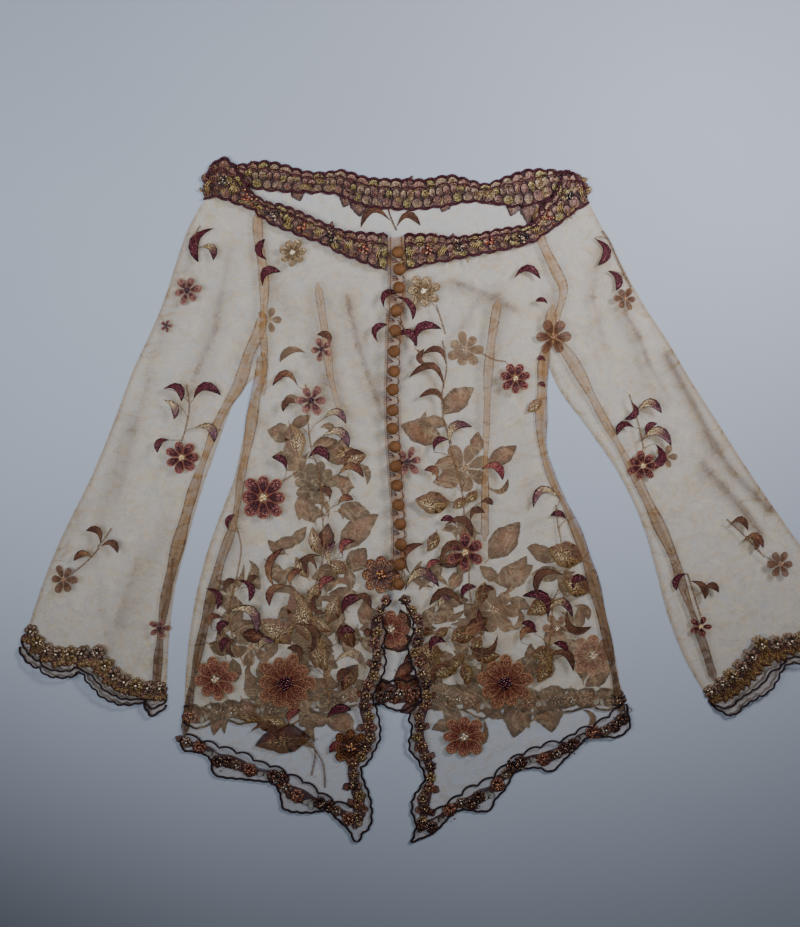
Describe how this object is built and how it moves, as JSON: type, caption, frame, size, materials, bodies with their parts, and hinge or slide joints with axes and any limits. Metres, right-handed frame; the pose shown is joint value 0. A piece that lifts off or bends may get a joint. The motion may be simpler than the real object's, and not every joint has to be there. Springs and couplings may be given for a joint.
{
  "type": "kebaya blouse",
  "caption": "Long-sleeved kebaya blouse of sheer net, laid flat front up, with scalloped corded borders, bell cuffs and a row of covered buttons.",
  "frame": {"origin": "centre of the laid blouse's outline, on the surface that it lies on", "axes": "+X across the blouse towards the sleeve on the right of the view, +Y up the body to the neck, +Z away from the surface"},
  "size_m": [0.984, 0.8058, 0.0242],
  "materials": {
    "net": "sheer ivory tulle",
    "border": "dark maroon cord and copper beads on net",
    "strip": "doubled tan net, matt",
    "satin": "tan satin"
  },
  "bodies": {
    "root": {"back": "net", "front_left": "net", "front_right": "net", "sleeve_left_outer": "net", "sleeve_left_crown": "net", "sleeve_left_inner": "net", "sleeve_left_under": "net", "sleeve_right_outer": "net", "sleeve_right_crown": "net", "sleeve_right_inner": "net", "sleeve_right_under": "net", "cuff_left_upper": "border", "cuff_left_under": "border", "cuff_right_upper": "border", "cuff_right_under": "border", "neck_back": "border", "neck_left": "border", "neck_right": "border", "hem_back": "border", "hem_left": "border", "hem_right": "border", "slit_left": "border", "slit_right": "border", "button_strip": "strip", "button_01": "satin", "button_02": "satin", "button_03": "satin", "button_04": "satin", "button_05": "satin", "button_06": "satin", "button_07": "satin", "button_08": "satin", "button_09": "satin", "button_10": "satin", "button_11": "satin", "button_12": "satin", "button_13": "satin", "button_14": "satin", "button_15": "satin", "button_16": "satin", "button_17": "satin", "button_18": "satin"}
  },
  "joints": []
}
